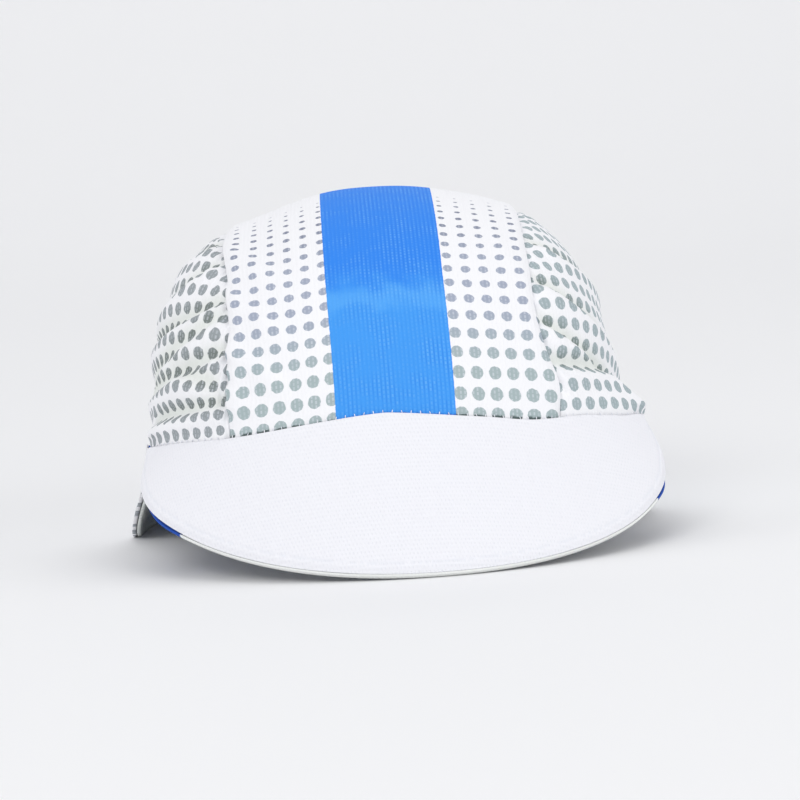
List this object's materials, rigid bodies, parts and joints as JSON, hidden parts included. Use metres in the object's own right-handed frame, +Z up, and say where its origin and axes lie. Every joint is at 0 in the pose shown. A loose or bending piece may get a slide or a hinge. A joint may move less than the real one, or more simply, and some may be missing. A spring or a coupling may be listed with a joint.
{
  "type": "cycling cap",
  "caption": "Soft cloth cycling cap with a dotted crown, a wide centre stripe and a short turned-down peak, lying as it lies by itself.",
  "frame": {"origin": "on the floor, under the middle of the cap", "axes": "+Z up; the peak points along -Y and +X is the wearer's left"},
  "size_m": [0.187, 0.2248, 0.1203],
  "materials": {
    "centre_cloth": "white ribbed knit with a wide blue stripe and grey dots that shrink upwards",
    "side_cloth": "white ribbed knit with grey dots",
    "peak_cloth": "white birdseye mesh knit",
    "peak_lining": "smooth knit, blue towards both ends",
    "hem_cloth": "white ribbed knit, turned in and stitched"
  },
  "bodies": {
    "root": {"centre_panel": "centre_cloth", "side_panel_left": "side_cloth", "side_panel_right": "side_cloth", "peak_top": "peak_cloth", "peak_under": "peak_lining", "hem_band": "hem_cloth"}
  },
  "joints": []
}
